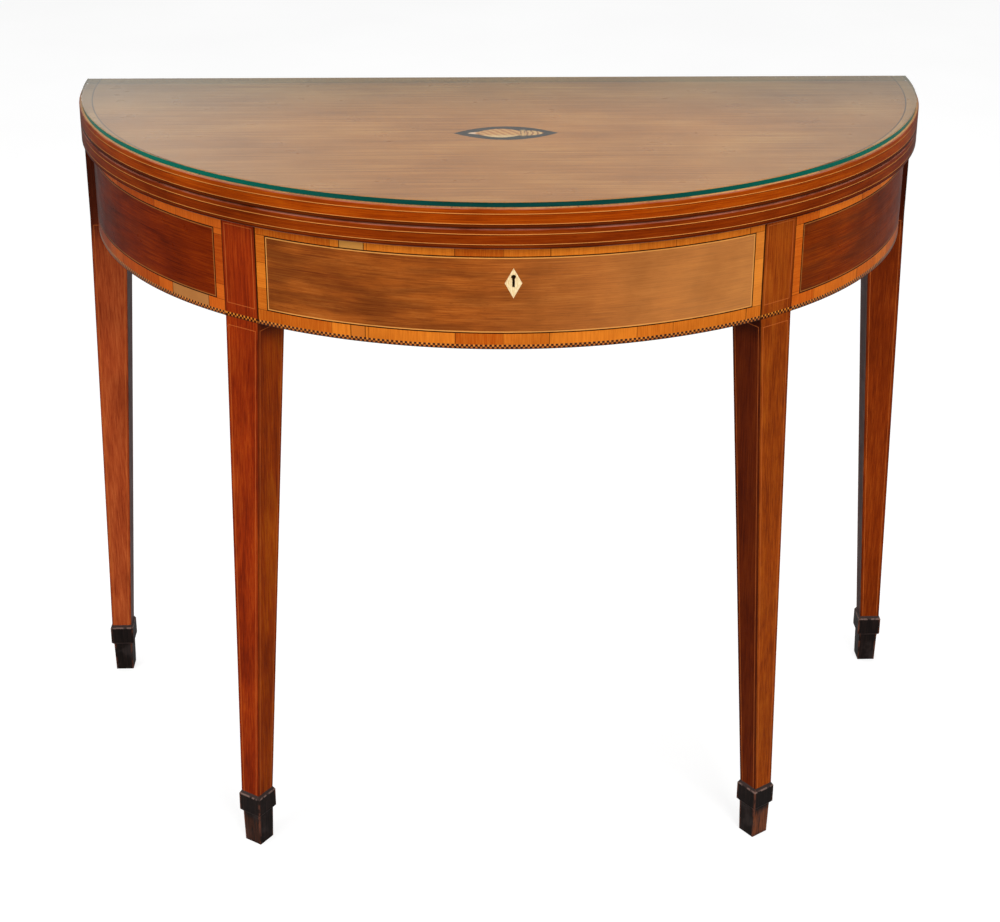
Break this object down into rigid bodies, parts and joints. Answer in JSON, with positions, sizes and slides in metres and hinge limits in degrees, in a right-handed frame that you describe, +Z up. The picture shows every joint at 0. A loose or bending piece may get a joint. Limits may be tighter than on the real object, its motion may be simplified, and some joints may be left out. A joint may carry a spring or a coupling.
{
  "type": "demilune card table",
  "caption": "Half-round fold-over card table in inlaid mahogany: glass on the top, bow-fronted drawer, tapered legs on spade feet, one of them a fly leg.",
  "frame": {"origin": "on the floor under the middle of the table's box", "axes": "+Z up, -Y the way the drawer opens, +X to the right as seen from the front; the straight back edge is at +Y"},
  "size_m": [0.9448, 0.4605, 0.7366],
  "materials": {
    "glass": "clear, green at its edge",
    "mahogany_top": "waxed",
    "mahogany": "polished",
    "mahogany_leg": "polished",
    "dark_foot": "worn dark polish",
    "chequer": "polished inlay",
    "brass": "aged",
    "iron": "dull",
    "beech": "plain",
    "pine": "plain, aged",
    "oak": "plain, aged",
    "bone": null
  },
  "bodies": {
    "frame": {"lower_leaf": "mahogany_top", "apron_left": "mahogany", "apron_right": "mahogany", "front_leg_left": "mahogany_leg", "front_leg_right": "mahogany_leg", "back_leg_right": "mahogany_leg", "foot_front_left": "dark_foot", "foot_front_right": "dark_foot", "foot_back_right": "dark_foot", "chequer_band_left": "chequer", "chequer_band_right": "chequer", "hinge_plate_lower_left": "brass", "hinge_plate_lower_right": "brass", "hinge_pins": "brass", "knuckle_pin": "iron", "fly_rail_fixed": "beech", "inner_back_rail": "pine", "front_top_rail": "pine", "front_bottom_rail": "pine", "drawer_runner_left": "pine", "drawer_runner_right": "pine", "drawer_guide_left": "pine", "drawer_guide_right": "pine", "drawer_kicker_left": "pine", "drawer_kicker_right": "pine", "drawer_stops": "pine", "glue_blocks": "pine"},
    "drawer": {"drawer_front": "mahogany", "chequer_band_drawer": "chequer", "drawer_side_left": "oak", "drawer_side_right": "oak", "drawer_back": "oak", "drawer_bottom": "oak", "lock_case": "brass", "escutcheon": "bone"},
    "lock_bolt": {"lock_bolt": "iron"},
    "fly_leg": {"fly_leg": "mahogany_leg", "foot_fly": "dark_foot", "fly_rail": "beech"},
    "upper_leaf": {"upper_leaf": "mahogany_top", "hinge_plate_upper_left": "brass", "hinge_plate_upper_right": "brass"},
    "glass": {"glass_sheet": "glass"}
  },
  "joints": [
    {"name": "drawer_slide", "type": "slide", "parent": "frame", "child": "drawer", "axis": [0, -1, 0], "range_m": [0, 0.25]},
    {"name": "lock_bolt_throw", "type": "slide", "parent": "drawer", "child": "lock_bolt", "axis": [0, 0, 1], "range_m": [0, 0.007]},
    {"name": "fly_leg_swing", "type": "hinge", "parent": "frame", "child": "fly_leg", "pos_m": [-0.1, 0.21318, 0.64], "axis": [0, 0, -1], "range_deg": [0, 90]},
    {"name": "leaf_fold", "type": "hinge", "parent": "frame", "child": "upper_leaf", "pos_m": [0, 0.22733, 0.71115], "axis": [-1, 0, 0], "range_deg": [0, 180]},
    {"name": "glass_lift", "type": "slide", "parent": "frame", "child": "glass", "axis": [0, 0, 1], "range_m": [0, 1.462]}
  ],
  "couplings": [
    {"joint": "glass_lift", "follows": "leaf_fold", "m_per_rad": 0.465}
  ]
}
